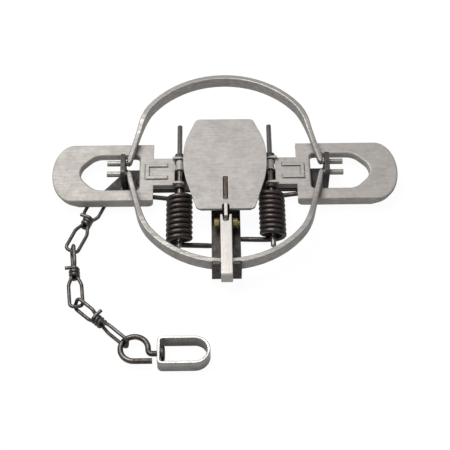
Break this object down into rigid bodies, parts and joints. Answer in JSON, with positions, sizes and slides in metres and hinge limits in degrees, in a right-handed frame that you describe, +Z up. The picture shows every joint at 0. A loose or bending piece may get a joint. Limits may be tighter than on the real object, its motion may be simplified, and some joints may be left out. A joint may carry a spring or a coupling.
{
  "type": "coil spring trap",
  "caption": "Set foothold trap: flat bow jaws on a riveted cross base, sprung stamped levers, a pan held by a dog, and a short wire chain ending in a swivel.",
  "frame": {"origin": "middle of the base plate's underside, on the floor it lies on", "axes": "+X along the two levers to the right, +Z up, -Y towards the dog and the front jaw"},
  "size_m": [0.27, 0.2608, 0.0273],
  "materials": {
    "stamped_steel": "dull bare sheet",
    "jaw_steel": "dull, bright along the edges",
    "bright_steel": "bright, brushed",
    "dark_steel": "dull dark bar",
    "spring_steel": "dark oiled wire",
    "chain_steel": "dark bright wire",
    "swivel_steel": "polished strap",
    "yellow_plated": "yellow plated"
  },
  "bodies": {
    "frame": {"base_plate": "dark_steel", "cross_arm": "dark_steel", "left_arm_rivet": "dark_steel", "right_arm_rivet": "dark_steel", "left_spring_pin": "dark_steel", "right_spring_pin": "dark_steel", "left_pin_spacer": "stamped_steel", "right_pin_spacer": "stamped_steel", "left_coil_spring": "spring_steel", "right_coil_spring": "spring_steel", "pan_bracket": "dark_steel", "pan_bracket_rivet": "dark_steel", "pan_bolt": "yellow_plated", "pan_nut": "yellow_plated", "chain_clip": "dark_steel", "chain_clip_rivet": "dark_steel"},
    "left_lever": {"left_lever": "stamped_steel"},
    "right_lever": {"right_lever": "stamped_steel"},
    "front_jaw": {"front_jaw": "jaw_steel"},
    "rear_jaw": {"rear_jaw": "jaw_steel"},
    "dog": {"dog": "bright_steel"},
    "pan": {"pan": "stamped_steel", "pan_shank": "bright_steel"},
    "link_1": {"chain_link_1": "chain_steel"},
    "link_2": {"chain_link_2": "chain_steel"},
    "link_3": {"chain_link_3": "chain_steel"},
    "eye": {"swivel_eye": "chain_steel"},
    "swivel": {"swivel_body": "swivel_steel"}
  },
  "joints": [
    {"name": "right_lever_press", "type": "hinge", "parent": "frame", "child": "right_lever", "pos_m": [0.0355, 0, 0.0128], "axis": [0, 1, 0], "range_deg": [0, 3.5], "stiffness_Nm_per_rad": 1, "springref_deg": -40.11, "deforming": ["right_coil_spring"]},
    {"name": "left_lever_press", "type": "hinge", "parent": "frame", "child": "left_lever", "pos_m": [-0.0355, 0, 0.0128], "axis": [0, -1, 0], "range_deg": [0, 0.4], "stiffness_Nm_per_rad": 1, "springref_deg": -40.11, "deforming": ["left_coil_spring"]},
    {"name": "front_jaw_swing", "type": "hinge", "parent": "frame", "child": "front_jaw", "pos_m": [0, -0.0052, 0.0184], "axis": [-1, 0, 0], "range_deg": [-1, 0]},
    {"name": "rear_jaw_swing", "type": "hinge", "parent": "frame", "child": "rear_jaw", "pos_m": [0, 0.0052, 0.0184], "axis": [1, 0, 0], "range_deg": [0, 85]},
    {"name": "dog_swing", "type": "hinge", "parent": "frame", "child": "dog", "pos_m": [0, -0.0936, 0.0238], "axis": [1, 0, 0], "range_deg": [0, 80]},
    {"name": "pan_drop", "type": "hinge", "parent": "frame", "child": "pan", "pos_m": [0, -0.0505, 0.015], "axis": [-1, 0, 0], "range_deg": [0, 2.2]},
    {"name": "clip_link_turn", "type": "hinge", "parent": "frame", "child": "link_1", "pos_m": [-0.0983, -0.0195, 0.0034], "axis": [0, 0, 1], "range_deg": [-7, 7]},
    {"name": "link_1_2_turn", "type": "hinge", "parent": "link_1", "child": "link_2", "pos_m": [-0.11623, -0.06518, 0.00617], "axis": [0, 0, 1], "range_deg": [-25, 8]},
    {"name": "link_2_3_turn", "type": "hinge", "parent": "link_2", "child": "link_3", "pos_m": [-0.11106, -0.11406, 0.00611], "axis": [0, 0, 1], "range_deg": [-25, 8]},
    {"name": "link_3_eye_turn", "type": "hinge", "parent": "link_3", "child": "eye", "pos_m": [-0.07252, -0.14941, 0.00629], "axis": [0, 0, 1], "range_deg": [-20, 12]},
    {"name": "swivel_spin", "type": "hinge", "parent": "eye", "child": "swivel", "pos_m": [-0.045, -0.1574, 0.0059], "axis": [1, 0, 0], "continuous": true}
  ]
}
